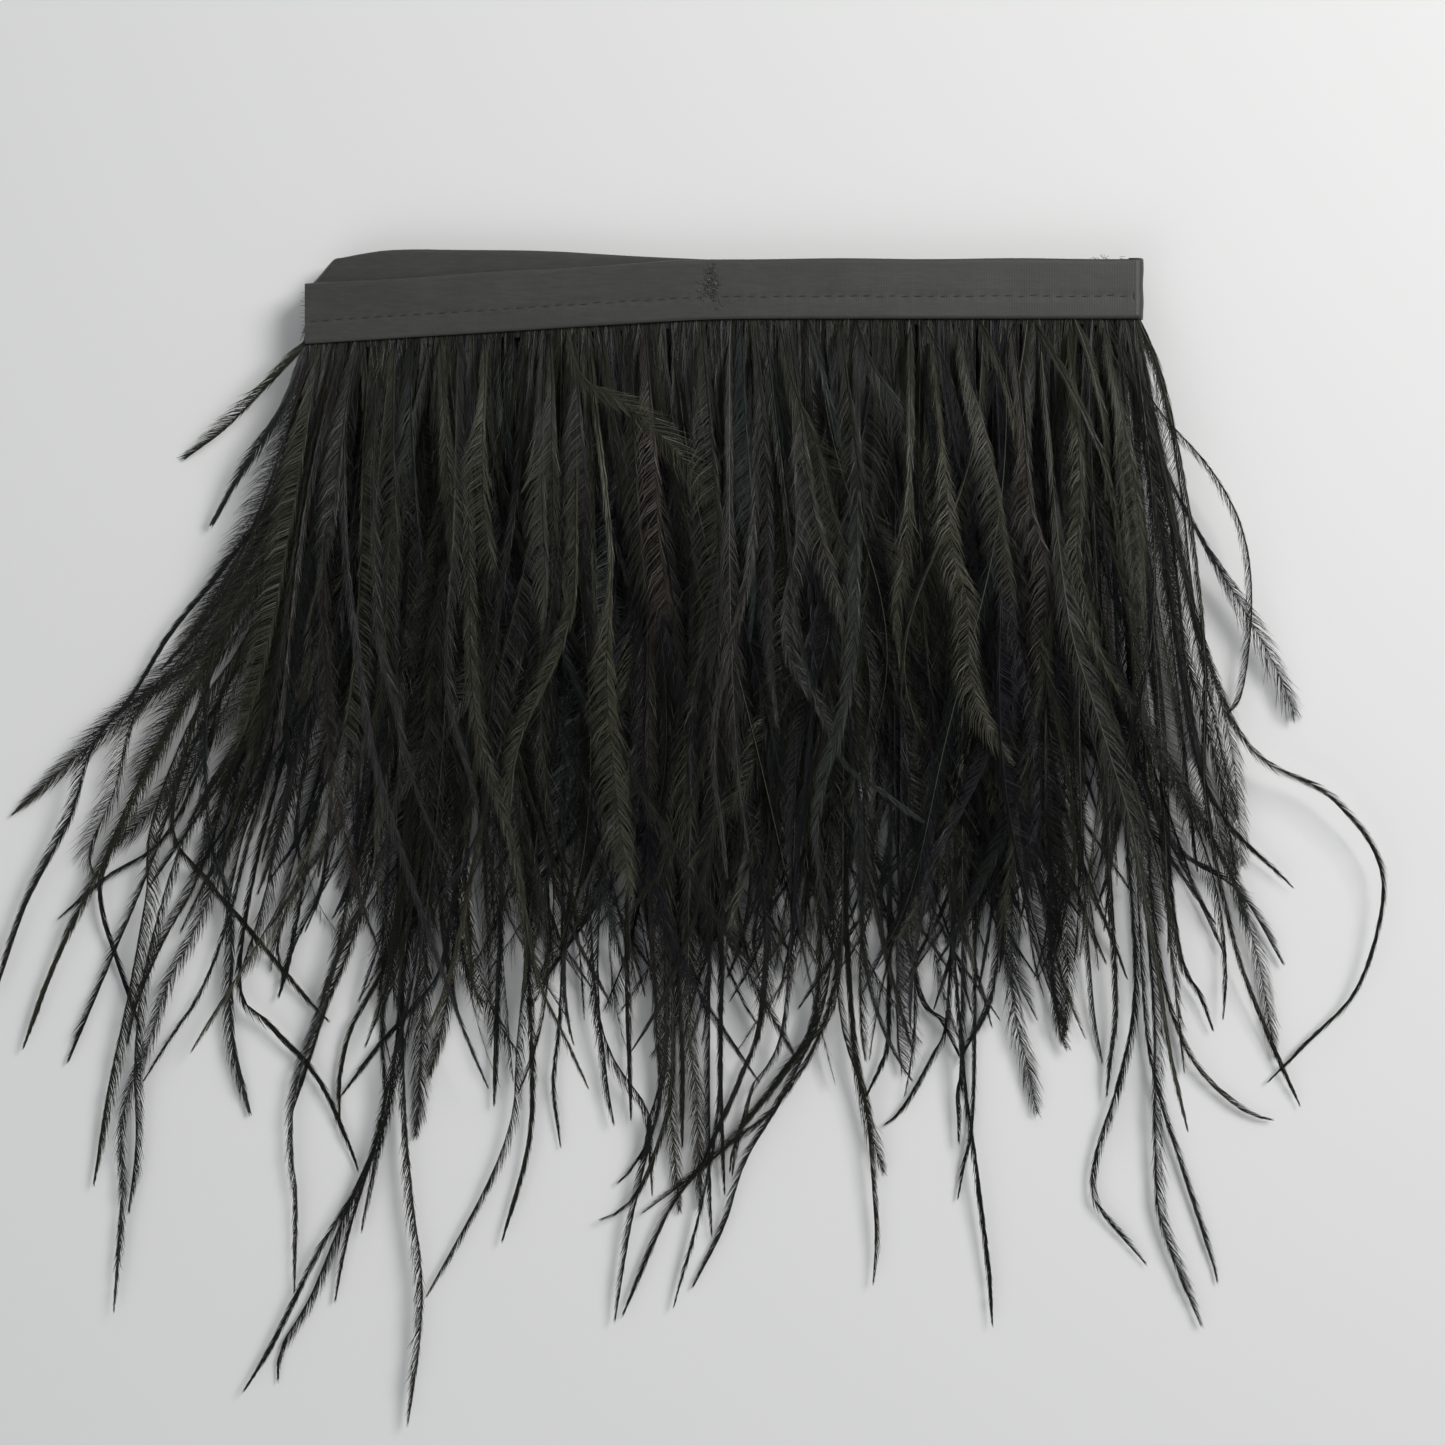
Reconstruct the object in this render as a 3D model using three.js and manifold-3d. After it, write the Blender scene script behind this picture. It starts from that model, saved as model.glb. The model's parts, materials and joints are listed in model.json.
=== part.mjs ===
import * as THREE from 'three';
import { mergeVertices } from 'three/addons/utils/BufferGeometryUtils.js';
import Module from 'manifold-3d';

// Ostrich-feather fringe sewn to a folded satin ribbon, one yard of it packed as a concertina
// of five flat leaves. Millimetres. X runs along the ribbon, the feathers lie toward -Y,
// and +Z is up from the surface that the pack lies on. Leaf 1 is the lowest.

const wasm = await Module();
wasm.setup();

// ---------- driving dimensions ----------

const LEAVES = 5;
const RIBBON_WIDTH = 12.7; // half-inch satin ribbon, after it is folded lengthwise over the tape
const FOLD_X = 86.2; // the fold lines are at plus and minus this
const CUT_END_X = 88.2; // the two cut ends of the trim reach a little past the folds
const LEAF_HEIGHT = 1.85;
const PITCH = 2.0; // from one leaf to the next
const PLY = 0.25;
const GAP = 0.1;

const TAPE_THICKNESS = 0.25;
const TAPE_TOP = 2.4; // upper edge of the header tape, in Y
const TAPE_SHOWS = 1.2; // how far the tape comes out below the ribbon
const TAPE_Z = -0.335;

const STITCH_Y = -1.65; // the one line of stitching, 4.7 mm above the ribbon's lower edge
const THREAD_RADIUS = 0.1;
const NEEDLE_Z = 0.47;
const BOBBIN_Z = -0.505;

const ROOT_THICKNESS = 0.3; // the flues' quills where they are sewn, side by side
const ROOT_TOP = 2.4;
const BRUSH_START = 9.4; // below this the flues fluff out to their full thickness
const BRUSH_HALF = 0.825;
const SECTION_GAP = 0.4; // between one bundle of flues and the next
const REACH = 252; // past the longest flue
const DENSE_TIP = 186; // where most flues end
const TIP_SCATTER = 21;
const VALLEY_SHARE = 0.74; // how far down its length a bundle begins to part
const TIP_HALF_WIDTH = 1.3;

const LOFT = 7; // how far the top leaf's flues rise, freed from the pack above

const LEAN_START = -3; // left of this the upper leaves lean, the top one down and the next one up
const TOP_LEAN = 0.0627;
const NEXT_LEAF_RISE = 2.3;
const NEXT_LEAF_RUN = 60;

const TACK = { x: -2.6, width: 5, length: 7.4, height: 0.55 }; // knotted tacking threads

// Tips of the flue bundles that spread past the cut end of the top leaf and of the bottom leaf.
const LEFT_FAN = [
	[-114, -28],
	[-109, -46],
	[-153, -106],
	[-154, -138],
	[-149, -156],
	[-134, -186],
	[-129, -213],
	[-103, -229],
];
const RIGHT_FAN = [
	[57, -219],
	[89, -206],
	[105, -214],
	[118, -176],
	[134, -148],
	[138, -122],
	[121, -90],
	[110, -62],
	[98, -34],
];

// ---------- materials ----------

function finish(color, roughness) {
	return () => new THREE.MeshStandardMaterial({ color, roughness, metalness: 0 });
}

const satin = finish('#464845', 0.42);
const tapeCloth = finish('#2b2b28', 0.8);
const sewingThread = finish('#262624', 0.6);
const feather = finish('#1d1c1a', 0.75);

// ---------- helpers ----------

const X = new THREE.Vector3(1, 0, 0);
const Y = new THREE.Vector3(0, 1, 0);
const Z = new THREE.Vector3(0, 0, 1);

function outline(points) {
	return new THREE.Shape(points.map(([x, y]) => new THREE.Vector2(x, y)));
}

/** A section drawn in (Y, Z) and drawn out along X. */
function alongX(section, from, to, steps = 1) {
	const options = { depth: to - from, steps, bevelEnabled: false, curveSegments: 10 };
	const geometry = new THREE.ExtrudeGeometry(section, options);
	geometry.applyMatrix4(new THREE.Matrix4().makeBasis(Y, Z, X));
	return geometry.translate(from, 0, 0);
}

/** A plan drawn in (X, Y), raised through the whole leaf and its loft. */
function alongZ(plan) {
	const options = { depth: LEAF_HEIGHT + LOFT + 2, bevelEnabled: false };
	return new THREE.ExtrudeGeometry(plan, options).translate(0, 0, -LEAF_HEIGHT / 2 - 1);
}

function toManifold(geometry) {
	geometry.deleteAttribute('normal');
	geometry.deleteAttribute('uv');
	const welded = mergeVertices(geometry, 1e-4);
	const vertProperties = new Float32Array(welded.attributes.position.array);
	const triVerts = new Uint32Array(welded.index.array);
	return new wasm.Manifold(new wasm.Mesh({ numProp: 3, vertProperties, triVerts }));
}

function toGeometry(manifold) {
	const mesh = manifold.getMesh();
	const geometry = new THREE.BufferGeometry();
	geometry.setAttribute('position', new THREE.BufferAttribute(mesh.vertProperties, 3));
	geometry.setIndex(new THREE.BufferAttribute(mesh.triVerts, 1));
	geometry.computeVertexNormals();
	return geometry;
}

/** How far a leaf's centreline strays in Y from straight, at x. */
function lean(leaf, x) {
	const run = LEAN_START - Math.max(x, -CUT_END_X);
	if (leaf === LEAVES) return (-TOP_LEAN * (run + Math.hypot(run, 6))) / 2;
	if (leaf === LEAVES - 1) {
		const share = THREE.MathUtils.clamp(run / NEXT_LEAF_RUN, 0, 1);
		return NEXT_LEAF_RISE * Math.sin((share * Math.PI) / 2);
	}
	return 0;
}

const isTurned = (leaf) => leaf % 2 === 0; // every other leaf lies face down

function leaning(leaf, geometry) {
	if (leaf < LEAVES - 1) return geometry;
	const side = isTurned(leaf) ? -1 : 1;
	const { position } = geometry.attributes;
	for (let i = 0; i < position.count; i++) {
		position.setY(i, position.getY(i) + lean(leaf, side * position.getX(i)));
	}
	return geometry;
}

const leafSteps = (leaf) => (leaf < LEAVES - 1 ? 1 : 24);

/** Ends of a leaf's cloth in its own X: a cut end reaches past the fold line, a folded one stops at it. */
function leafEnds(leaf) {
	const left = leaf === LEAVES ? -CUT_END_X : -FOLD_X + GAP;
	const right = leaf === 1 ? CUT_END_X : FOLD_X - GAP;
	return isTurned(leaf) ? [-right, -left] : [left, right];
}

function piece(name, geometry, material) {
	const mesh = new THREE.Mesh(geometry, material());
	mesh.name = name;
	return mesh;
}

// ---------- the header: ribbon, tape and threads ----------

/** The ribbon is doubled lengthwise: two plies, joined along the upper edge. */
function makeRibbon(leaf) {
	const w = RIBBON_WIDTH / 2;
	const h = LEAF_HEIGHT / 2;
	const section = outline([
		[-w, -h],
		[w, -h],
		[w, h],
		[-w, h],
		[-w, h - PLY],
		[w - PLY, h - PLY],
		[w - PLY, PLY - h],
		[-w, PLY - h],
	]);
	const geometry = alongX(section, ...leafEnds(leaf), leafSteps(leaf));
	return piece(`ribbon_${leaf}`, leaning(leaf, geometry), satin);
}

function makeHeaderTape(leaf) {
	const foot = -RIBBON_WIDTH / 2 - TAPE_SHOWS;
	const section = outline([
		[foot, TAPE_Z],
		[TAPE_TOP, TAPE_Z],
		[TAPE_TOP, TAPE_Z + TAPE_THICKNESS],
		[foot, TAPE_Z + TAPE_THICKNESS],
	]);
	const geometry = alongX(section, ...leafEnds(leaf), leafSteps(leaf));
	return piece(`header_tape_${leaf}`, leaning(leaf, geometry), tapeCloth);
}

function makeThread(name, leaf, z) {
	const sides = 8;
	const section = outline(
		Array.from({ length: sides }, (_, i) => {
			const angle = (i * 2 * Math.PI) / sides;
			return [STITCH_Y + THREAD_RADIUS * Math.cos(angle), z + THREAD_RADIUS * Math.sin(angle)];
		}),
	);
	const geometry = alongX(section, ...leafEnds(leaf), leafSteps(leaf));
	return piece(`${name}_${leaf}`, leaning(leaf, geometry), sewingThread);
}

// ---------- the feather fringe ----------

/** Side view of a bundle: sewn roots inside the header, then the brush, thinning to the tips. */
function fringeProfile(leaf) {
	const under = leaf === 1 ? -LEAF_HEIGHT / 2 : -BRUSH_HALF;
	const profile = new THREE.Shape();
	profile.moveTo(ROOT_TOP, 0);
	profile.lineTo(ROOT_TOP, ROOT_THICKNESS);
	profile.lineTo(1 - BRUSH_START, ROOT_THICKNESS);
	profile.lineTo(-BRUSH_START, BRUSH_HALF);
	if (leaf === LEAVES) {
		profile.quadraticCurveTo(-0.2 * REACH, LOFT, -0.42 * REACH, LOFT);
		profile.quadraticCurveTo(-0.7 * REACH, LOFT, -REACH, 0);
	} else {
		profile.lineTo(-0.6 * REACH, BRUSH_HALF);
		profile.lineTo(-REACH, 0.1);
	}
	profile.lineTo(-REACH, under);
	profile.lineTo(-BRUSH_START, under);
	profile.lineTo(1 - BRUSH_START, 0);
	return profile;
}

/** Plan of a bundle: it parts into tufts, each with a blunt tip and a valley on either side. */
function tuftPlan(from, to, tips) {
	const start = -BRUSH_START;
	const rootOf = (i) => new THREE.Vector2(from + ((i + 0.5) / tips.length) * (to - from), start);
	const ends = tips.map(([x, y]) => new THREE.Vector2(x, y));
	const plan = [new THREE.Vector2(from, ROOT_TOP + 1), new THREE.Vector2(from, start)];
	ends.forEach((tip, i) => {
		const along = tip.clone().sub(rootOf(i)).normalize();
		const across = new THREE.Vector2(along.y, -along.x).multiplyScalar(TIP_HALF_WIDTH);
		plan.push(tip.clone().add(across), tip.clone().sub(across));
		if (i + 1 < ends.length) {
			const root = rootOf(i).lerp(rootOf(i + 1), 0.5);
			plan.push(root.lerp(tip.clone().lerp(ends[i + 1], 0.5), VALLEY_SHARE));
		}
	});
	plan.push(new THREE.Vector2(to, start), new THREE.Vector2(to, ROOT_TOP + 1));
	return new THREE.Shape(plan);
}

/** Tips of a bundle that hangs straight, of mixed lengths. */
function straightTips(leaf, from, to, count = 6) {
	return Array.from({ length: count }, (_, i) => {
		const x = from + ((i + 0.5) / count) * (to - from);
		const mix = Math.sin(2.4 * i + 1.7 * leaf) + 0.6 * Math.sin(5.1 * i + from);
		return [x, -(DENSE_TIP + TIP_SCATTER * mix)];
	});
}

function makeFringe(leaf, part, from, to) {
	const side = isTurned(leaf) ? -1 : 1;
	let tips = straightTips(leaf, from, to);
	if (leaf === LEAVES && part === 'left') {
		tips = [...LEFT_FAN, ...straightTips(leaf, -84, to, 4)];
	}
	if (leaf === 1 && part === 'right') {
		tips = [...straightTips(leaf, from, 48, 2), ...RIGHT_FAN];
	}
	const [a, b] = side > 0 ? [from, to] : [-to, -from];
	const placed = side > 0 ? tips : tips.map(([x, y]) => [-x, y]).reverse();
	const plan = leaning(leaf, alongZ(tuftPlan(a, b, placed)));
	const reach = side > 0 ? tips.map(([x]) => x) : placed.map(([x]) => x);
	const low = Math.min(a, ...reach) - 5;
	const high = Math.max(b, ...reach) + 5;
	const slab = leaning(leaf, alongX(fringeProfile(leaf), low, high, leafSteps(leaf)));
	const solid = toManifold(plan).intersect(toManifold(slab));
	return piece(`fringe_${leaf}_${part}`, toGeometry(solid), feather);
}

function makeFringes(leaf) {
	const [a, b] = leafEnds(leaf);
	const [left, right] = isTurned(leaf) ? [-b, -a] : [a, b];
	const third = (right - left) / 3;
	return ['left', 'middle', 'right'].map((part, i) => {
		const from = left + i * third + (i > 0 ? SECTION_GAP / 2 : GAP);
		const to = left + (i + 1) * third - (i < 2 ? SECTION_GAP / 2 : GAP);
		return makeFringe(leaf, part, from, to);
	});
}

// ---------- folds and tacking ----------

/** The trim bends back on itself between two leaves, in a loose half turn. */
function makeFoldLoop(fold) {
	const side = fold % 2 === 0 ? 1 : -1;
	const outer = (PITCH + LEAF_HEIGHT) / 2;
	const section = new THREE.Shape();
	section.absarc(0, 0, outer, -Math.PI / 2, Math.PI / 2, false);
	section.absarc(0, 0, 0.35, Math.PI / 2, -Math.PI / 2, true);
	const options = { depth: RIBBON_WIDTH, bevelEnabled: false, curveSegments: 12 };
	const geometry = new THREE.ExtrudeGeometry(section, options);
	geometry.translate(0, 0, -RIBBON_WIDTH / 2);
	geometry.applyMatrix4(new THREE.Matrix4().makeBasis(X, Z, Y.clone().negate()));
	const mesh = piece(`fold_loop_${fold}`, geometry, satin);
	const middle = (lean(fold, side * FOLD_X) + lean(fold + 1, side * FOLD_X)) / 2;
	mesh.position.set(side * (FOLD_X + GAP), middle, fold * PITCH - (PITCH - LEAF_HEIGHT) / 2);
	if (side < 0) mesh.rotation.z = Math.PI;
	return mesh;
}

/** A few knotted threads on the top leaf, where one length of trim is joined to the next. */
function makeTack() {
	const { x, width, length, height } = TACK;
	const section = new THREE.Shape();
	section.moveTo(-length / 2, 0);
	section.lineTo(length / 2, 0);
	section.quadraticCurveTo(0, 2 * height, -length / 2, 0);
	const geometry = alongX(section, -width / 2, width / 2);
	const mesh = piece('tacking_knot', geometry, sewingThread);
	mesh.position.set(x, 0.6, LEAF_HEIGHT / 2 + GAP);
	return mesh;
}

// ---------- the whole pack ----------

function makeLeaf(leaf) {
	const group = new THREE.Group();
	group.position.z = LEAF_HEIGHT / 2 + (leaf - 1) * PITCH;
	if (isTurned(leaf)) group.rotation.y = Math.PI;
	group.add(makeRibbon(leaf), makeHeaderTape(leaf));
	group.add(makeThread('needle_thread', leaf, NEEDLE_Z));
	group.add(makeThread('bobbin_thread', leaf, BOBBIN_Z));
	group.add(...makeFringes(leaf));
	if (leaf === LEAVES) group.add(makeTack());
	return group;
}

const trim = new THREE.Group();
for (let leaf = 1; leaf <= LEAVES; leaf++) {
	trim.add(makeLeaf(leaf));
	if (leaf < LEAVES) trim.add(makeFoldLoop(leaf));
}

export default trim;
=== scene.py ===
import json
import math

import bpy
import numpy as np
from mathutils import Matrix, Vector


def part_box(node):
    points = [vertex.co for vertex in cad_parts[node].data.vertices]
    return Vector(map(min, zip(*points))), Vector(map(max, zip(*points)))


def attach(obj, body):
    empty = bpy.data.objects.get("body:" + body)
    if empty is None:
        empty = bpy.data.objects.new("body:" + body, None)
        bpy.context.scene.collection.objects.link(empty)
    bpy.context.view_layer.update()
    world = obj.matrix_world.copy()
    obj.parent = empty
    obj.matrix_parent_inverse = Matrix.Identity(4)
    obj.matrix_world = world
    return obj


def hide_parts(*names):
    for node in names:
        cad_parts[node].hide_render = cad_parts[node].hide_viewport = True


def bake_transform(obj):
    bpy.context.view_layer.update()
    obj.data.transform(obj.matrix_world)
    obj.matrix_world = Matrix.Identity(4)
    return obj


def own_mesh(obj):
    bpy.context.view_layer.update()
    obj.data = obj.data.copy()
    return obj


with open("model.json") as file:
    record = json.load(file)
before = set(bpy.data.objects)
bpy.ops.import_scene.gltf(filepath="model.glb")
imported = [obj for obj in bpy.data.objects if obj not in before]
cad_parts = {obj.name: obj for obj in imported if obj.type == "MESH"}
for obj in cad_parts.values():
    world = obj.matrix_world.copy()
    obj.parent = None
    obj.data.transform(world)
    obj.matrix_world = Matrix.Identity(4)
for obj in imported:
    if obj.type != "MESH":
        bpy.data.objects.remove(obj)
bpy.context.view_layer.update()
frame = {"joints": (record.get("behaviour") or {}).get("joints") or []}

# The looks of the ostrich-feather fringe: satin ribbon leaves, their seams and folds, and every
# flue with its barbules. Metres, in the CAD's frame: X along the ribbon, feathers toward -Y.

MM = 0.001
RNG = np.random.default_rng(7)

# ---------- sizes taken from the frame ----------

LEAVES = 5
TOP = LEAVES
ribbon_low, ribbon_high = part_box("ribbon_1")
LEAF_HEIGHT = ribbon_high.z - ribbon_low.z
HALF_WIDTH = (ribbon_high.y - ribbon_low.y) / 2
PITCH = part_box("ribbon_2")[0].z - ribbon_low.z
FOLD_X = abs(frame["joints"][0]["pos_m"][0])
CUT_END_X = ribbon_high.x
TAPE_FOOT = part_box("header_tape_1")[0].y
TAPE_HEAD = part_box("header_tape_1")[1].y
STITCH_Y = (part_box("needle_thread_1")[0].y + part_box("needle_thread_1")[1].y) / 2
ROOT_Y = -HALF_WIDTH + 2 * MM  # where the flues are sewn in
FOLD_GAP = 0.1 * MM  # from a leaf's end to the axis of its fold

# The upper leaves stray from straight to the left of LEAN_START, as their CAD solids do.
LEAN_START = -3 * MM
LEAN_BLEND = 6 * MM
TOP_LEAN = 0.0627
NEXT_LEAF_RISE = 2.3 * MM
NEXT_LEAF_RUN = 60 * MM


def lean(leaf, x):
    """How far a leaf's centreline strays in Y, at x."""
    x = np.asarray(x, float)
    run = LEAN_START - np.maximum(x, -CUT_END_X)
    if leaf == TOP:
        return -TOP_LEAN * (run + np.hypot(run, LEAN_BLEND)) / 2
    if leaf == TOP - 1:
        share = np.clip(run / NEXT_LEAF_RUN, 0, 1)
        return NEXT_LEAF_RISE * np.sin(share * math.pi / 2)
    return np.zeros_like(x)


def middle_z(leaf):
    return LEAF_HEIGHT / 2 + (leaf - 1) * PITCH


def is_turned(leaf):
    """True for the leaves that lie face down."""
    return leaf % 2 == 0


def leaf_ends(leaf):
    left = -CUT_END_X if leaf == TOP else -FOLD_X + FOLD_GAP
    right = CUT_END_X if leaf == 1 else FOLD_X - FOLD_GAP
    return left, right


# ---------- camera, light and floor ----------

LENS = 70  # millimetres, as Blender takes it
VIEW_CENTRE = (-0.5 * MM, -91.2 * MM)
VIEW_SPAN = 308.4 * MM  # width of the floor that the frame takes in


def make_camera():
    data = bpy.data.cameras.new("camera")
    data.lens = LENS
    camera = bpy.data.objects.new("camera", data)
    camera.location = (*VIEW_CENTRE, VIEW_SPAN * LENS / data.sensor_width)
    bpy.context.collection.objects.link(camera)
    bpy.context.scene.camera = camera
    bpy.context.scene.view_settings.view_transform = "Standard"


def make_light(name, place, size, power):
    """A soft square light, aimed at the middle of the fringe."""
    data = bpy.data.lights.new(name, "AREA")
    data.size = size
    data.energy = power
    light = bpy.data.objects.new(name, data)
    light.location = place
    aim = Vector((0, -0.1, 0)) - Vector(place)
    light.rotation_euler = aim.to_track_quat("-Z", "Y").to_euler()
    bpy.context.collection.objects.link(light)


def make_studio():
    make_light("key_light", (0.6, 0.35, 0.75), size=0.45, power=9.0)
    make_light("fill_light", (-0.6, -0.8, 0.8), size=0.9, power=3.0)
    make_light("back_light", (-0.2, 0.9, 0.5), size=0.6, power=1.2)
    world = bpy.data.worlds.new("studio")
    bpy.context.scene.world = world
    world.use_nodes = True
    sky = world.node_tree.nodes["Background"].inputs
    sky["Color"].default_value = (0.9, 0.93, 1, 1)
    sky["Strength"].default_value = 0.27
    bpy.ops.mesh.primitive_plane_add(size=4, location=(0, 0, 0))
    floor = bpy.context.object
    floor.name = "floor"
    floor.data.materials.append(make_floor_finish())


# ---------- materials ----------


class Finish:
    """A material's node tree, with short ways to add nodes."""

    def __init__(self, name):
        self.material = bpy.data.materials.new(name)
        self.material.use_nodes = True
        self.tree = self.material.node_tree
        self.shader = self.tree.nodes["Principled BSDF"]

    def feed(self, socket, value):
        """Put a number, a vector, a colour or another node's output into a socket."""
        if isinstance(value, bpy.types.NodeSocket):
            self.tree.links.new(value, socket)
        elif socket.type == "RGBA":
            socket.default_value = (*value, 1)
        else:
            socket.default_value = value

    def node(self, kind, inputs, **settings):
        node = self.tree.nodes.new(kind)
        for key, value in settings.items():
            setattr(node, key, value)
        for key, value in inputs.items():
            self.feed(node.inputs[key], value)
        return node

    def set(self, **values):
        for key, value in values.items():
            self.feed(self.shader.inputs[key.replace("_", " ")], value)

    def position(self, stretch=(1, 1, 1)):
        """Object coordinates, stretched by three factors."""
        place = self.node("ShaderNodeTexCoord", {}).outputs["Object"]
        return self.node("ShaderNodeMapping", {"Vector": place, "Scale": stretch}).outputs["Vector"]

    def noise(self, scale, detail, stretch=(1, 1, 1)):
        inputs = {"Vector": self.position(stretch), "Scale": scale, "Detail": detail}
        return self.node("ShaderNodeTexNoise", inputs).outputs["Fac"]

    def wave(self, direction, scale, distortion=0.0):
        """Even bands across a direction, for threads and weave."""
        inputs = {"Vector": self.position(), "Scale": scale, "Distortion": distortion}
        node = self.node("ShaderNodeTexWave", inputs, wave_type="BANDS", bands_direction=direction)
        return node.outputs["Fac"]

    def attribute(self, name):
        return self.node("ShaderNodeAttribute", {}, attribute_name=name).outputs["Fac"]

    def ramp(self, value, stops):
        node = self.node("ShaderNodeValToRGB", {"Fac": value})
        elements = node.color_ramp.elements
        while len(elements) < len(stops):
            elements.new(0.5)
        for element, (place, color) in zip(elements, stops):
            element.position = place
            element.color = (*color, 1)
        return node.outputs["Color"]

    def range(self, value, low, high):
        inputs = {"Value": value, "To Min": low, "To Max": high}
        return self.node("ShaderNodeMapRange", inputs).outputs["Result"]

    def math(self, operation, a, b):
        return self.node("ShaderNodeMath", {0: a, 1: b}, operation=operation).outputs[0]

    def mix(self, factor, a, b):
        """A blend of two colours, whose sockets are numbers 6 and 7 of the node's inputs."""
        return self.node("ShaderNodeMix", {0: factor, 6: a, 7: b}, data_type="RGBA").outputs[2]

    def bump(self, height, distance, strength=1.0):
        inputs = {"Height": height, "Distance": distance, "Strength": strength}
        self.set(Normal=self.node("ShaderNodeBump", inputs).outputs["Normal"])


def make_floor_finish():
    finish = Finish("pale_floor")
    finish.set(Base_Color=(0.74, 0.74, 0.72), Roughness=0.9)
    return finish.material


def make_satin_finish():
    """Black satin that reads as dark grey: fine weft lines, faint warp streaks, soft sheen."""
    finish = Finish("black_satin")
    along = finish.noise(1.0, 4, stretch=(300, 2200, 2200))
    cloud = finish.noise(1.0, 2, stretch=(60, 110, 60))
    tone = finish.math("ADD", finish.math("MULTIPLY", along, 0.6), finish.math("MULTIPLY", cloud, 0.4))
    color = finish.ramp(tone, [(0.3, (0.030, 0.031, 0.028)), (0.55, (0.039, 0.039, 0.034)),
                               (0.75, (0.050, 0.048, 0.040))])
    finish.set(Base_Color=color, Roughness=finish.range(along, 0.42, 0.58))
    finish.set(Sheen_Weight=0.1, Sheen_Roughness=0.4, Specular_IOR_Level=0.4)
    weft = finish.math("MULTIPLY", finish.wave("X", 900, 0.6), 0.4)
    finish.bump(finish.math("ADD", weft, along), 0.05 * MM, 0.5)
    return finish.material


def make_tape_finish():
    finish = Finish("woven_tape")
    warp = finish.wave("X", 500)
    grain = finish.noise(1.0, 3, stretch=(400, 1500, 400))
    color = finish.mix(finish.math("MULTIPLY", warp, grain), (0.010, 0.010, 0.010), (0.035, 0.034, 0.030))
    finish.set(Base_Color=color, Roughness=0.85)
    finish.bump(warp, 0.06 * MM)
    return finish.material


def make_thread_finish():
    finish = Finish("spun_thread")
    twist = finish.wave("DIAGONAL", 1400)
    color = finish.mix(twist, (0.009, 0.010, 0.009), (0.028, 0.028, 0.024))
    finish.set(Base_Color=color, Roughness=0.6)
    finish.bump(twist, 0.03 * MM)
    return finish.material


def make_lint_finish():
    """The worn tacking threads: nearly as dark as the ribbon, with a few pale specks."""
    finish = Finish("worn_thread")
    specks = finish.noise(1500, 2)
    color = finish.ramp(specks, [(0.35, (0.032, 0.034, 0.033)), (0.52, (0.052, 0.053, 0.049)),
                                 (0.72, (0.190, 0.190, 0.175))])
    finish.set(Base_Color=color, Roughness=0.75)
    finish.bump(specks, 0.03 * MM)
    return finish.material


def make_feather_finish():
    """Dyed black flues: each has its own tint, the quill is paler, a sheen is painted into the colour flue by
    flue and barbule by barbule, and the light comes back silky.
    """
    finish = Finish("dyed_ostrich")
    tint, quill, painted_sheen = (finish.attribute(name) for name in ("tint", "quill", "painted_sheen"))
    grain = finish.noise(260, 2)
    dye_at_full_sheen = finish.ramp(tint, [(0.0, (0.050, 0.052, 0.049)), (0.2, (0.063, 0.063, 0.040)),
                             (0.45, (0.068, 0.067, 0.041)), (0.6, (0.060, 0.058, 0.044)),
                             (0.72, (0.048, 0.045, 0.051)), (0.8, (0.064, 0.061, 0.040)),
                             (0.94, (0.040, 0.054, 0.050)), (1.0, (0.066, 0.050, 0.034))])
    deep = finish.ramp(tint, [(0.0, (0.004, 0.006, 0.006)), (0.4, (0.006, 0.006, 0.004)),
                              (0.7, (0.006, 0.005, 0.008)), (1.0, (0.005, 0.006, 0.006))])
    # Painted sheen: the brightness painted on each flue and barbule, speckled by the grain, takes the colour
    # from near-black up to the dye at full sheen.
    speckled = finish.math("MULTIPLY", painted_sheen, finish.range(grain, 0.7, 1.3))
    color = finish.mix(quill, finish.mix(speckled, deep, dye_at_full_sheen), (0.120, 0.112, 0.086))
    finish.set(Base_Color=color, Roughness=finish.range(grain, 0.36, 0.56))
    # The specular level rises with the painted sheen.
    finish.set(Specular_IOR_Level=finish.range(painted_sheen, 0.08, 0.4))
    return finish.material


# ---------- mesh helpers ----------


def quads_to_object(name, points, quads, finish, attributes=()):
    """A mesh object of quads, from arrays, with optional values on its points."""
    mesh = bpy.data.meshes.new(name)
    points = np.asarray(points, np.float32).reshape(-1, 3)
    quads = np.asarray(quads, np.int32)
    mesh.vertices.add(len(points))
    mesh.vertices.foreach_set("co", points.ravel())
    mesh.loops.add(quads.size)
    mesh.loops.foreach_set("vertex_index", quads.ravel())
    mesh.polygons.add(len(quads))
    mesh.polygons.foreach_set("loop_start", np.arange(0, quads.size, 4, dtype=np.int32))
    mesh.polygons.foreach_set("use_smooth", np.ones(len(quads), bool))
    mesh.update(calc_edges=True)
    for key, values in attributes:
        mesh.attributes.new(key, "FLOAT", "POINT").data.foreach_set("value", values.astype(np.float32))
    mesh.materials.append(finish)
    obj = bpy.data.objects.new(name, mesh)
    bpy.context.collection.objects.link(obj)
    return obj


def ring_quads(rows, columns):
    """Quads of a tube: rows of points, each a ring that closes on itself."""
    i, j = np.meshgrid(np.arange(rows - 1), np.arange(columns), indexing="ij")
    k = (j + 1) % columns
    corners = [i * columns + j, i * columns + k, (i + 1) * columns + k, (i + 1) * columns + j]
    return np.stack(corners, -1).reshape(-1, 4)


def band_quads(rows, columns):
    """Quads of a tube whose ring is a doubled band, where point j faces columns-1-j, with both ends
    closed."""
    j = np.arange(columns // 2 - 1)
    start = np.stack([j, columns - 1 - j, columns - 2 - j, j + 1], -1)
    end = start[:, ::-1] + (rows - 1) * columns
    return np.concatenate([ring_quads(rows, columns), start, end])


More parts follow.
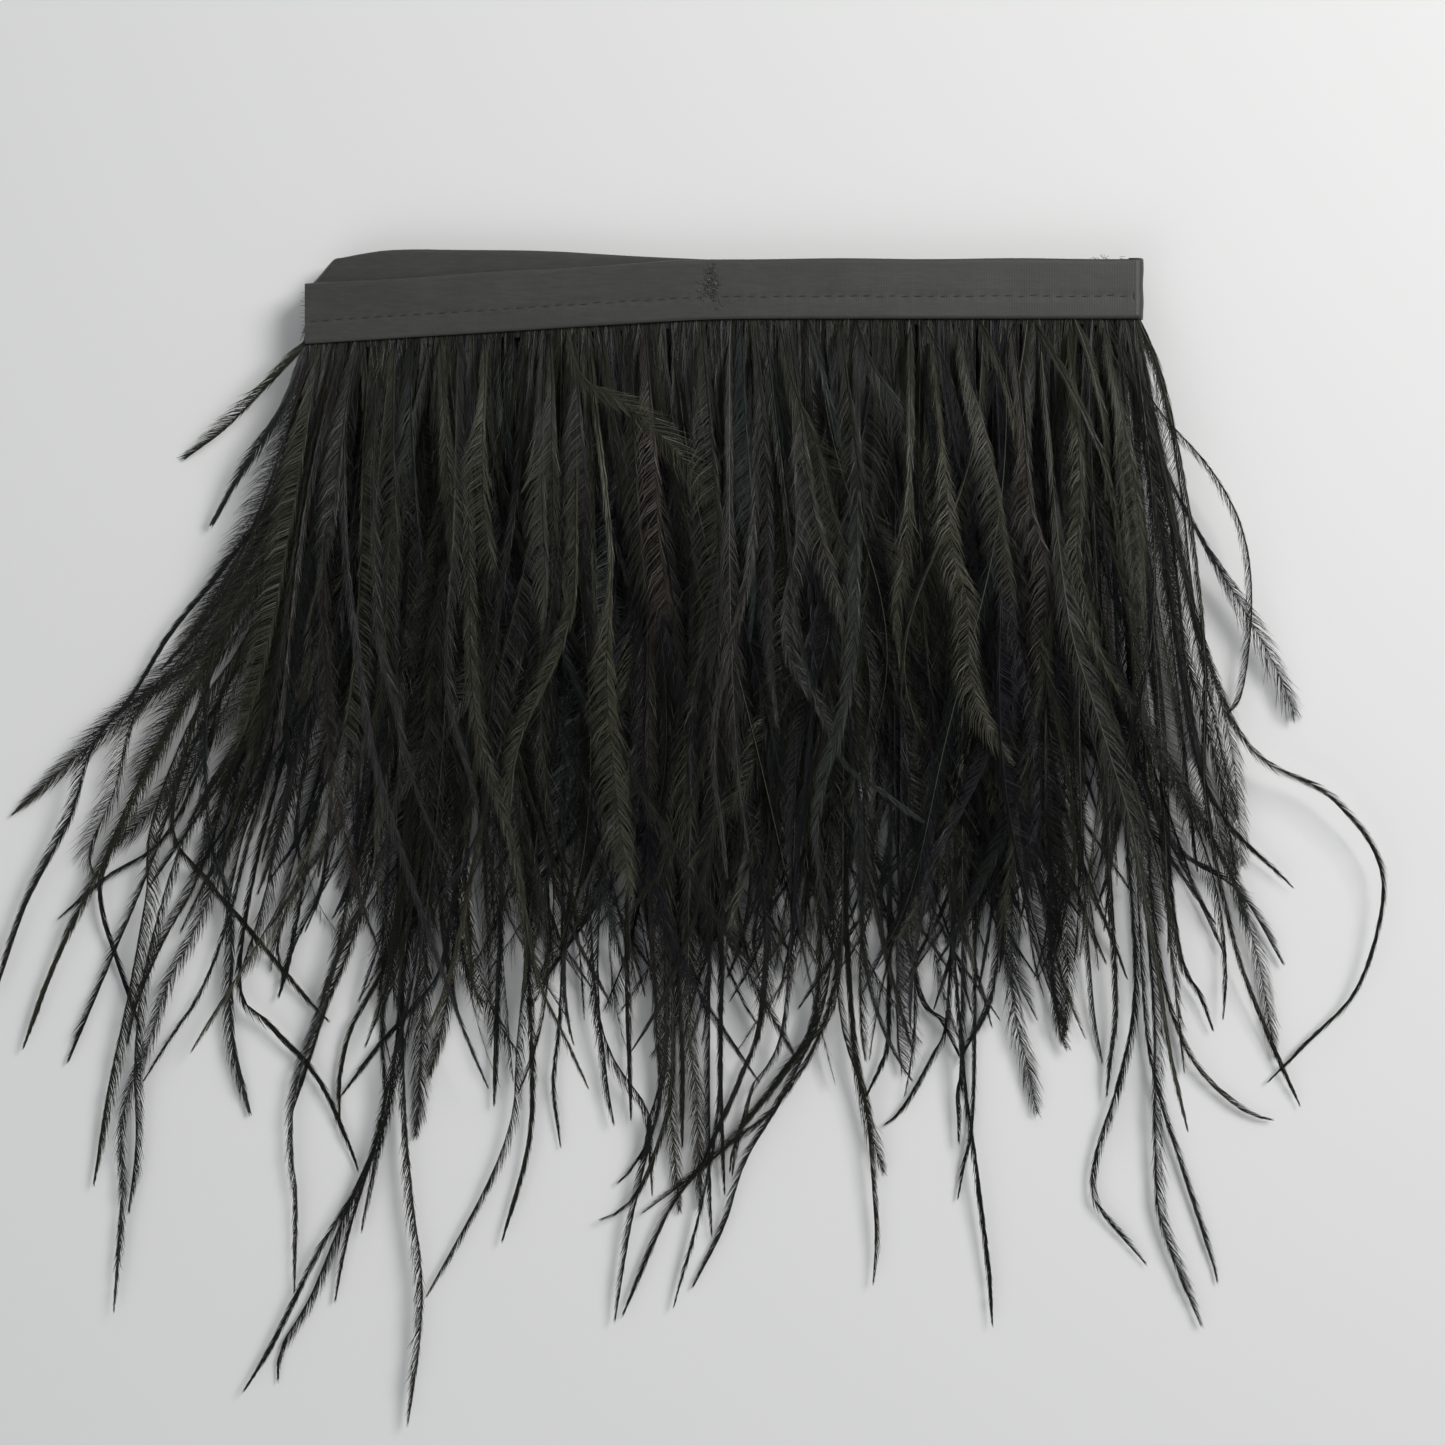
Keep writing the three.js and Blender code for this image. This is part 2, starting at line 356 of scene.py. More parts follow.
def tube(path, radii, sides):
    """Points and quads of a round tube along a path."""
    path = np.asarray(path, float)
    tangent = unit(np.gradient(path, axis=0))
    across = unit(np.cross(tangent, [0.02, 0.03, 1.0]))
    rise = np.cross(across, tangent)
    angle = np.arange(sides) * 2 * math.pi / sides
    ring = across[:, None] * np.cos(angle)[:, None] + rise[:, None] * np.sin(angle)[:, None]
    points = path[:, None] + ring * np.asarray(radii)[:, None, None]
    return points.reshape(-1, 3), ring_quads(len(path), sides)


def unit(vectors):
    return vectors / np.maximum(np.linalg.norm(vectors, axis=-1, keepdims=True), 1e-12)


def joined(parts):
    """Several (points, quads) as one."""
    points, quads, start = [], [], 0
    for p, q in parts:
        points.append(p)
        quads.append(q + start)
        start += len(p)
    return np.concatenate(points), np.concatenate(quads)


# ---------- ribbon, tape and folds ----------

PLY = 0.25 * MM  # thickness of the satin
EDGE_ROUND = 0.5 * MM  # reach of the ribbon's rounded upper edge
CRISP = 0.05 * MM  # a short last row, which keeps the shading flat up to the end
RIBBON_ROWS = 230
SEAM_HALF_WIDTH = 0.7 * MM
SEAM_PULL = 0.09 * MM
STITCH_PITCH = 2.7 * MM

# The creases of the left folds slant, so their upper corners draw back under the top leaf.
SLANT_START, SLANT_RUN = -70 * MM, 16 * MM
SLANT_FOOT, SLANT_HEIGHT = 0.5 * MM, 7.5 * MM
NEXT_LEAF_SLANT, LOWER_SLANT = 5.2 * MM, 6.5 * MM
DROOP_START, DROOP_RUN = -62 * MM, 24 * MM  # the corner of the leaf below the top one also sinks
DROOP, DROOP_HEIGHT = 2.0 * MM, 8 * MM


def end_shift(leaf, x, y):
    """How far the slanted crease moves a point in X."""
    if leaf == TOP:
        return np.zeros_like(x)
    near_end = np.clip((SLANT_START - x) / SLANT_RUN, 0, 1)
    above = np.clip((y - SLANT_FOOT) / SLANT_HEIGHT, 0, 1)
    return near_end * above * (NEXT_LEAF_SLANT if leaf == TOP - 1 else LOWER_SLANT)


def place_on_leaf(leaf, x, y, z):
    """From flat leaf coordinates to the pack: the lean and the slanted, sunken corner."""
    y = y + lean(leaf, x)
    if leaf == TOP - 1:
        beyond = np.clip((DROOP_START - x) / DROOP_RUN, 0, 1)
        y = y - beyond**2 * DROOP * np.clip(y / DROOP_HEIGHT, 0, 1)
    x = x + end_shift(leaf, x, y)
    return np.stack([x, y, z + middle_z(leaf)], -1)


def ribbon_section(count=18, bend_count=7):
    """The doubled ribbon's closed section in (y, z), face-side first: out along the cloth's outer
    face, round the upper edge, and back along its inner face. Point j faces point -1-j."""
    h = LEAF_HEIGHT / 2
    outer_y = np.linspace(-HALF_WIDTH, HALF_WIDTH - EDGE_ROUND, count)
    bend = np.linspace(math.pi / 2, -math.pi / 2, bend_count)[1:-1]
    outer = np.concatenate([
        np.stack([outer_y, np.full(count, h)], -1),
        np.stack([HALF_WIDTH - EDGE_ROUND + EDGE_ROUND * np.cos(bend), h * np.sin(bend)], -1),
        np.stack([outer_y[::-1], np.full(count, -h)], -1),
    ])
    inward = outer.copy()
    inward[:count, 1] = h - PLY
    inward[-count:, 1] = PLY - h
    middle = slice(count, len(outer) - count)
    inward[middle] = outer[middle] * [1, 1 - PLY / h] - [PLY, 0]
    return np.concatenate([outer, inward[::-1]])


def make_ribbon(leaf, finish):
    section = ribbon_section()
    left, right = leaf_ends(leaf)
    x = np.concatenate([[left], np.linspace(left + CRISP, right - CRISP, RIBBON_ROWS), [right]])
    xs, ys = np.meshgrid(x, section[:, 0], indexing="ij")
    zs = np.broadcast_to(section[:, 1], xs.shape).copy()
    # the seam draws the cloth in along its line, a little more at each stitch
    seam = np.exp(-(((ys - STITCH_Y) / SEAM_HALF_WIDTH) ** 2))
    pull = SEAM_PULL * seam * (1 + 0.5 * np.cos(xs * 2 * math.pi / STITCH_PITCH))
    # between the seam and the edges it lies in soft, uneven waves, in radians a metre
    wave = 0.03 * MM * np.sin(xs * 310 + leaf) * np.sin(ys * 420 + 1.3 * leaf + xs * 60)
    zs = zs - np.sign(zs) * (pull + np.abs(wave))
    ys = ys + 0.10 * MM * np.sin(xs * 170 + 2 * leaf) * np.clip(ys / HALF_WIDTH, 0, 1)
    points = place_on_leaf(leaf, xs, ys, zs)
    ribbon = quads_to_object(f"satin_ribbon_{leaf}", points, band_quads(len(x), len(section)), finish)
    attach(ribbon, f"leaf_{leaf}")
    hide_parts(f"ribbon_{leaf}")


TAPE_DEPTHS = (-0.1 * MM, -0.34 * MM)  # of its two faces, from the middle of the leaf
TAPE_END = 0.3 * MM  # it stops short of the leaf's ends
TAPE_ROWS, TAPE_COLUMNS = 200, 8


def make_tape(leaf, finish):
    side = -1 if is_turned(leaf) else 1
    left, right = leaf_ends(leaf)
    x = np.linspace(left + TAPE_END, right - TAPE_END, TAPE_ROWS)
    y = np.linspace(TAPE_FOOT, TAPE_HEAD, TAPE_COLUMNS)
    section_z = side * np.repeat(TAPE_DEPTHS, TAPE_COLUMNS)
    xs, ys = np.meshgrid(x, np.concatenate([y, y[::-1]]), indexing="ij")
    zs = np.broadcast_to(section_z, xs.shape)
    # the woven edge below the ribbon is a little uneven
    foot = (ys < TAPE_FOOT + 0.1 * MM) * 0.18 * MM * np.sin(xs * 900 + 3 * np.sin(xs * 140))
    points = place_on_leaf(leaf, xs, ys + foot, zs)
    quads = band_quads(TAPE_ROWS, 2 * TAPE_COLUMNS)
    if side > 0:
        quads = quads[:, ::-1]
    tape = quads_to_object(f"woven_tape_{leaf}", points, quads, finish)
    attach(tape, f"leaf_{leaf}")
    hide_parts(f"header_tape_{leaf}")


FOLD_ROWS, FOLD_COLUMNS = 21, 16
FOLD_LAP = 1.4 * MM  # how far a fold's ends run on into the leaves
FOLD_PLY = 0.5 * MM


def make_fold(fold, finish):
    """The ribbon's loose half turn from one leaf to the next, as a rounded, slightly flattened roll."""
    side = 1 if fold % 2 == 0 else -1
    axis_z = frame["joints"][fold - 1]["pos_m"][2]
    outer = (PITCH + LEAF_HEIGHT) / 2
    turn = np.linspace(-math.pi / 2, math.pi / 2, FOLD_ROWS - 2)
    turn = np.concatenate([turn[:1], turn, turn[-1:]])
    lap = np.zeros((FOLD_ROWS, 1))
    lap[[0, -1]] = FOLD_LAP
    y = np.linspace(-HALF_WIDTH, HALF_WIDTH, FOLD_COLUMNS)
    turns, ys = np.meshgrid(turn, y, indexing="ij")
    upper = np.clip((turns / math.pi + 0.5), 0, 1)
    leaning = (1 - upper) * lean(fold, side * FOLD_X) + upper * lean(fold + 1, side * FOLD_X)
    shells = []
    for radius in (outer, outer - FOLD_PLY):
        crease = 1 + 0.04 * np.sin(ys * 900 + fold)
        x = side * (FOLD_X - lap + radius * np.cos(turns) * crease)
        z = axis_z + (radius - 0.12 * lap) * np.sin(turns)
        shell_y = ys * (1 if radius == outer else 0.99) + leaning
        if side < 0:
            x = x + (1 - upper) * end_shift(fold, x, shell_y) + upper * end_shift(fold + 1, x, shell_y)
        if fold == TOP - 2:
            shell_y = shell_y - upper * np.clip(shell_y / DROOP_HEIGHT, 0, 1) * DROOP
        shells.append(np.stack([x, shell_y, z], -1))
    points = np.concatenate([shells[0], shells[1][:, ::-1]], 1)
    quads = band_quads(FOLD_ROWS, 2 * FOLD_COLUMNS)
    if side > 0:
        quads = quads[:, ::-1]
    roll = quads_to_object(f"ribbon_fold_{fold}", points, quads, finish)
    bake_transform(roll)
    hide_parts(f"fold_loop_{fold}")


# ---------- seams, tacking knot and loose threads ----------

STITCH_LENGTH = 1.75 * MM
STITCH_STRAY = 0.08 * MM
STITCH_RADIUS = 0.12 * MM
STITCH_POINTS = 7
LOOSE_POINTS = 24
KNOT_THREADS = 70
FOLD_FILAMENTS = 9
CUT_FILAMENTS = 16
CUT_POINTS = 6


def make_stitches(leaf, thread, finish):
    """A row of short dashes of thread, each dipping into the cloth at both ends."""
    left, right = leaf_ends(leaf)
    starts = np.arange(left + 1 * MM, right - 2.4 * MM, STITCH_PITCH)
    up = (1 if thread == "needle_thread" else -1) * (-1 if is_turned(leaf) else 1)
    share = np.linspace(0, 1, STITCH_POINTS)
    dashes = []
    for start in starts:
        x = start + share * (STITCH_LENGTH + RNG.normal(0, STITCH_STRAY))
        y = STITCH_Y + RNG.normal(0, STITCH_STRAY) + 0.12 * MM * (share - 0.5)
        z = up * (LEAF_HEIGHT / 2 - 0.17 * MM + 0.10 * MM * np.sin(share * math.pi))
        dashes.append(tube(place_on_leaf(leaf, x, y, z), np.full(STITCH_POINTS, STITCH_RADIUS), 6))
    stitches = quads_to_object(f"{thread}_stitches_{leaf}", *joined(dashes), finish)
    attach(stitches, f"leaf_{leaf}")
    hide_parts(f"{thread}_{leaf}")


def loose_thread(start, spread, height, turns, length):
    """Path of a short end of thread that curls on the cloth."""
    t = np.linspace(0, 1, LOOSE_POINTS)
    phase = RNG.uniform(0, 2 * math.pi)
    heading = phase + np.cumsum(turns * np.sin(t * 5 + phase)) * 0.12
    step = length / LOOSE_POINTS
    x = start[0] + np.cumsum(np.cos(heading)) * step
    y = start[1] + np.cumsum(np.sin(heading)) * step * spread
    z = start[2] + height * np.sin(t * math.pi) ** 2
    return np.stack([x, y, z], -1)


def make_knot(finish):
    """The tacking on the top leaf: a tangle of short thread ends."""
    low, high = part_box("tacking_knot")
    centre = (low + high) / 2
    strands = []
    for _ in range(KNOT_THREADS):
        place = (centre.x + RNG.normal(0, 0.8 * MM), centre.y + RNG.normal(0, 1.9 * MM),
                 low.z + RNG.uniform(0.0, 0.1) * MM)
        path = loose_thread(place, 1.0, RNG.uniform(0.05, 0.25) * MM, RNG.uniform(0.5, 2.4), 1.7 * MM)
        strands.append(tube(path, np.linspace(0.06, 0.03, LOOSE_POINTS) * MM, 5))
    knot = quads_to_object("tacking_threads", *joined(strands), finish)
    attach(knot, f"leaf_{TOP}")
    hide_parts("tacking_knot")


def make_frayed_ends(finish):
    """Fine filaments that have come loose near the fold and at the cut end of the top leaf."""
    strands = []
    for _ in range(FOLD_FILAMENTS):
        x = FOLD_X - RNG.uniform(2, 9) * MM
        start = (x, HALF_WIDTH - 0.2 * MM, middle_z(TOP) + RNG.uniform(-0.4, 0.6) * MM)
        path = loose_thread(start, 0.5, 0.5 * MM, RNG.uniform(1, 3), 2.4 * MM)
        strands.append(tube(path, np.linspace(0.05, 0.03, LOOSE_POINTS) * MM, 4))
    for _ in range(CUT_FILAMENTS):
        y = RNG.uniform(-0.95, 0.95) * HALF_WIDTH
        x = np.linspace(0.4, -RNG.uniform(0.3, 1.1), CUT_POINTS) * MM - CUT_END_X
        bow = np.linspace(0, 1, CUT_POINTS) ** 2 * RNG.normal(0, 0.3) * MM
        z = np.full(CUT_POINTS, LEAF_HEIGHT / 2 - 0.12 * MM)
        strands.append(tube(place_on_leaf(TOP, x, y + bow, z), np.full(CUT_POINTS, 0.035 * MM), 4))
    ends = quads_to_object("frayed_ends", *joined(strands), finish)
    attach(ends, f"leaf_{TOP}")


# ---------- flues ----------

STATIONS = 44  # points along a flue's quill
BARBULE_POINTS = 3
SHUT_REACH = 4.2 * MM  # length of the barbules where the vane is shut
BARE_ROOT = 24 * MM  # run over which the vane grows at the root
ROOT_SHADE_RUN = 22 * MM  # run over which the even painted sheen of the root gives way to the flue's own
LOWEST = 0.12 * MM  # no point of a flue goes below this


def smooth_path(controls, count=STATIONS, fineness=24):
    """An even, smooth line through a few points (Catmull-Rom)."""
    p = np.asarray(controls, float)
    p = np.concatenate([[2 * p[0] - p[1]], p, [2 * p[-1] - p[-2]]])
    fine = []
    for a, b, c, d in zip(p, p[1:], p[2:], p[3:]):
        t = np.linspace(0, 1, fineness, endpoint=False)[:, None]
        fine.append(0.5 * (2 * b + (c - a) * t + (2 * a - 5 * b + 4 * c - d) * t**2
                           + (3 * b - a - 3 * c + d) * t**3))
    fine = np.concatenate(fine + [p[-2:-1]])
    run = np.concatenate([[0], np.cumsum(np.linalg.norm(np.diff(fine, axis=0), axis=1))])
    even = np.linspace(0, run[-1], count)
    return np.stack([np.interp(even, run, fine[:, i]) for i in range(fine.shape[1])], -1)


def hanging_plan(root_x, length, leans, wave=(0, 0, 0), curl=0, most=(-0.8, 0.8)):
    """Plan of a flue that leaves the ribbon at root_x: its lean at the start, midway and at the end, its
    wave (size, turns and phase), how far the tip curls, and the most that it may lean either way."""
    s = np.linspace(0, 1, STATIONS)
    start, swing, end = leans
    heading = start + (end - start) * s**1.6 + swing * np.sin(s * math.pi)
    heading = heading + wave[0] * np.sin(s * wave[1] + wave[2]) * s + curl * s**5
    heading = np.clip(heading, *most)
    step = length / (STATIONS - 1)
    x = root_x + np.concatenate([[0], np.cumsum(np.sin(heading[:-1]))]) * step
    y = ROOT_Y - np.concatenate([[0], np.cumsum(np.cos(heading[:-1]))]) * step
    return np.stack([x, y], -1)


def flue_heights(leaf, plan, loft, tip_z):
    """Height of a flue: out of the header, over the pile, and down toward its tip."""
    s = np.linspace(0, 1, len(plan))
    root_z = middle_z(leaf) + (-0.1 if is_turned(leaf) else 0.1) * MM
    settle = np.clip((s - 0.05) / 0.95, 0, 1)
    z = root_z + (tip_z - root_z) * settle**1.4
    return z + loft * np.sin(settle**0.8 * math.pi) ** 1.2


def vane_body(s, style):
    """How far the vane is open along the flue, from 0 where it is shut to 1 where it is fullest."""
    opening = np.clip((s - style["opens"] + 0.16) / 0.16, 0, 1)
    closing = np.clip((style["closes"] - s) / 0.2, 0, 1)
    return opening**0.8 * closing**0.7


def vane_frames(path, style, along):
    """Where each barbule stands on the quill, and three axes there: on toward the tip, across the vane
    and out of it. The vane rolls about the quill."""
    s = np.linspace(0, 1, len(path))
    tangent = unit(np.gradient(path, axis=0))
    level = unit(np.cross(tangent, [0, 0, 1.0]))
    rise = np.cross(level, tangent)
    roll = style["roll"] + style["twist"] * s + 0.25 * np.sin(7 * s + style["phase"])
    side = level * np.cos(roll)[:, None] + rise * np.sin(roll)[:, None]
    face = np.cross(side, tangent)

    def at(values):
        return np.stack([np.interp(along, s, values[:, i]) for i in range(3)], -1)

    return at(path), unit(at(tangent)), unit(at(side)), unit(at(face))


def barbule_stance(along, hand, clump, length, style):
    """Each barbule's reach, its splay from the quill, its lift out of the vane, and its tilt."""
    count = len(along)
    fuller = 1 + hand * style["bias"]
    body = vane_body(along, style) * np.clip(along * length / BARE_ROOT - 0.35, 0, 1)
    shut_reach = SHUT_REACH * (1.25 - 0.55 * along)
    reach = shut_reach + (style["barbule"] - shut_reach) * body
    reach = reach * (1 + 0.12 * RNG.normal(size=count)) * (0.75 + 0.25 * fuller)
    reach = reach * np.clip((1.02 - along) / 0.08, 0.3, 1)
    rest = 1 - body
    splay = style["shut"] + (style["splay"] - style["shut"]) * body
    splay = splay * (1 + (0.18 * clump + 0.12 * RNG.normal(size=count)) * (1 - 0.6 * rest)) * fuller
    lift = 0.14 * RNG.normal(size=count) + style["cup"]
    tilt = (RNG.normal(0, 0.45, count) + 0.4 * clump) * (1 - 0.7 * rest)
    return reach, np.clip(splay, 0.06, 1.2), lift, tilt


def barbule_blades(frames, stance, hand, blade):
    """Points and quads of the barbules: narrow strips that bend toward the flue's tip."""
    root, ahead, across, out = frames
    reach, splay, lift, tilt = stance
    count = len(hand)
    points = np.empty((count, BARBULE_POINTS, 2, 3))
    for i, u in enumerate(np.linspace(0, 1, BARBULE_POINTS)):
        sideways = np.sin(splay) * (u - 0.28 * u * u) * reach * hand
        forward = (np.cos(splay) * u + 0.30 * np.sin(splay) * u * u) * reach
        above = lift * reach * u * u
        centre = root + ahead * forward[:, None] + across * sideways[:, None] + out * above[:, None]
        flat = unit(ahead * np.sin(splay)[:, None] - across * (hand * np.cos(splay))[:, None])
        flat = flat * np.cos(tilt)[:, None] + out * np.sin(tilt)[:, None]
        half = blade * (1 - 0.85 * u**1.5)
        points[:, i, 0] = centre + flat * half
        points[:, i, 1] = centre - flat * half
    first = np.arange(count)[:, None] * (2 * BARBULE_POINTS)
    strip = np.array([[2 * i, 2 * i + 1, 2 * i + 3, 2 * i + 2] for i in range(BARBULE_POINTS - 1)])
    return points.reshape(-1, 3), (first[:, :, None] + strip[None]).reshape(-1, 4)


def make_flue(path, style):
    """Points, quads, and the quill and painted sheen values of one flue: a quill with two rows of barbules.
    """
    length = np.linalg.norm(np.diff(path, axis=0), axis=1).sum()
    stem_points, stem_quads = tube(path, style["quill"] * (1 - 0.75 * np.linspace(0, 1, len(path))), 3)
    pairs = int(length / style["spacing"])
    along = np.repeat((np.arange(pairs) + RNG.uniform(0.2, 0.8, pairs)) / pairs * 0.995, 2)
    hand = np.tile([1.0, -1.0], pairs)
    step = np.arange(2 * pairs) + style["phase"] * 9
    clump = 0.6 * np.sin(step * 0.53) * np.sin(step * 0.083) + 0.4 * np.sin(step * 0.21)
    stance = barbule_stance(along, hand, clump, length, style)
    blades, blade_quads = barbule_blades(vane_frames(path, style, along), stance, hand, style["blade"])

    # Painted sheen: an even, middling value near the root, then the flue's tone, varied in clumps and at
    # random from barbule to barbule and lighter toward each barbule's tip; the quill gets a low value.
    near_root = np.clip(1.4 - along * length / ROOT_SHADE_RUN, 0, 1)
    mixed = 0.9 + 0.35 * clump + 0.25 * RNG.normal(size=2 * pairs)
    light = style["tone"] * mixed * (1 - near_root) + (0.26 + 0.2 * style["tone"]) * near_root
    tips = np.repeat(np.linspace(0.75, 1.25, BARBULE_POINTS), 2)
    painted_sheen = np.clip(light, 0, 1)[:, None] * tips
    quill = np.concatenate([np.full(len(stem_points), style["pale"]), np.zeros(len(blades))])
    painted_sheen = np.concatenate([np.full(len(stem_points), 0.08), painted_sheen.ravel()])
    points, quads = joined([(stem_points, stem_quads), (blades, blade_quads)])
    points[:, 2] = np.maximum(points[:, 2], LOWEST)
    return points, quads, quill, painted_sheen


def flue_style(openness, detail=1.0, **chosen):
    """How a flue's barbules stand. Openness 0 is a shut strand and 1 a broad plume. Of the rest, which
    may be chosen, opens and closes say where the vane does so, bias is how much fuller its left side is
    than its right, and tone is how bright a sheen is painted into its colour, as if its vane faced the
    light."""
    style = {
        "roll": RNG.normal(0, 0.35),
        "twist": RNG.normal(0, 0.7),
        "phase": RNG.uniform(0, 6.28),
        "quill": RNG.uniform(0.13, 0.18) * MM,
        "spacing": 0.31 * MM / detail,
        "opens": RNG.uniform(0.08, 0.35),
        "closes": RNG.uniform(0.7, 1.08),
        "barbule": (3.2 + 3.6 * openness) * MM * RNG.uniform(0.85, 1.15),
        "shut": RNG.uniform(0.18, 0.25),
        "splay": 0.2 + 0.66 * openness,
        "bias": RNG.choice([-0.75, -0.3, 0.0, 0.3, 0.75]),
        "tone": random_tone(),
        "pale": RNG.choice([0.0, 0.25, 0.9], p=[0.6, 0.25, 0.15]),
        "cup": RNG.normal(-0.05, 0.1),
        "blade": RNG.uniform(0.055, 0.075) * MM / math.sqrt(detail),
    }
    return {**style, **chosen}


# How bright a sheen is painted on a flue, at random: half of the flues get almost none, a fifth a bright one.
def random_tone():
    return RNG.choice([RNG.uniform(0.0, 0.12), RNG.uniform(0.15, 0.4), RNG.uniform(0.5, 0.95)],
                      p=[0.5, 0.3, 0.2])


def random_openness():
    return RNG.choice([RNG.uniform(0.02, 0.15), RNG.uniform(0.2, 0.5), RNG.uniform(0.55, 1.0)],
                      p=[0.2, 0.3, 0.5])


LOCK_SPACING = 8 * MM


def make_locks(leaf):
    """Neighbouring flues lie together in locks: each lock's centre, leans and wave."""
    left, right = leaf_ends(leaf)
    locks = []
    for centre in np.arange(left, right + 6 * MM, LOCK_SPACING):
        leans = (RNG.normal(0, 0.07), RNG.normal(0.13, 0.18), RNG.normal(-0.06, 0.28))
        wave = (RNG.normal(0, 0.22), RNG.uniform(3, 8), RNG.uniform(0, 6.28))
        locks.append((centre + RNG.normal(0, 1.5 * MM), leans, wave))
    return locks


def pile_length(t):
    """A flue's length at t, from -1 at the left fold to 1 at the right. One in four is short, and all
    are shorter toward the folds."""
    short = RNG.random() < 0.25
    length = RNG.uniform(62, 118) if short else np.clip(RNG.normal(140, 13), 100, 168)
    return length * (1 - 1.1 * max(-t - 0.82, 0) - 0.5 * max(t - 0.65, 0)) * MM


def pile_flue(leaf, root_x, locks, detail):
    """One flue of the general pile: most follow their lock, and some stray."""
    t = root_x / FOLD_X
    centre, leans, wave = min(locks, key=lambda lock: abs(lock[0] - root_x))
    stray = RNG.random() < 0.3
    spread = 1.0 if stray else 0.3
    length = pile_length(t)
    outward = 0.02 * t + (0.12 if t < 0 else 0.05) * t * abs(t)
    gather = 0.0 if stray else (centre - root_x) / length
    start = leans[0] + gather + 0.5 * outward + spread * RNG.normal(0, 0.08)
    swing = (leans[1] + spread * RNG.normal(0, 0.2)) * (1 - abs(t) ** 4)
    end = leans[2] + 1.2 * outward + spread * RNG.normal(0, 0.3)
    wave = (wave[0] + spread * RNG.normal(0, 0.2), wave[1], wave[2] + spread * RNG.normal(0, 1))
    most = (-0.6, 0.6 - 1.0 * max(t - 0.55, 0))
    plan = hanging_plan(root_x, length, (start, swing, end), wave, RNG.normal(0, 0.5), most)
    plan[:, 1] += lean(leaf, root_x)
    if leaf == TOP:
        loft, tip_z = RNG.uniform(0.5, 6.5) * MM, RNG.uniform(1.5, 8) * MM
    else:
        loft, tip_z = RNG.uniform(0.5, 3.5) * MM, RNG.uniform(0.5, 1.0 + 1.6 * leaf) * MM
    z = flue_heights(leaf, plan, loft, tip_z)
    return np.column_stack([plan, z]), flue_style(random_openness(), detail)


def root_flue(leaf, root_x):
    """A short, shut flue that fills in beside the ribbon."""
    length = RNG.uniform(28, 60) * MM
    leans = (RNG.normal(0, 0.06), 0, RNG.normal(0, 0.12))
    plan = hanging_plan(root_x, length, leans)
    plan[:, 1] += lean(leaf, root_x)
    z = flue_heights(leaf, plan, RNG.uniform(0, 0.5) * MM, middle_z(leaf) - RNG.uniform(1.5, 3) * MM)
    return np.column_stack([plan, z]), flue_style(0.1, 0.8, tone=RNG.uniform(0.05, 0.5), bias=0.0)


def flue(root_x, points, openness=0.1, tone=0.12, **looks):
    """One flue that stands out: where its root is along the ribbon, and the points that it passes
    through on its way to its tip, all in millimetres."""
    return root_x, points, openness, {"tone": tone, **looks}


def placed_flue(leaf, root_x, points, openness, looks, loft, tip_z, fuller):
    root = (root_x, ROOT_Y + lean(leaf, root_x))
    plan = smooth_path(np.concatenate([[root], np.asarray(points, float) * MM]))
    z = flue_heights(leaf, plan, loft * MM, tip_z * MM)
    style = flue_style(openness, **looks)
    style["roll"] *= 0.5
    style["twist"] *= 0.4
    style["blade"] *= fuller
    style["shut"] *= fuller**0.5
    return np.column_stack([plan, z]), style


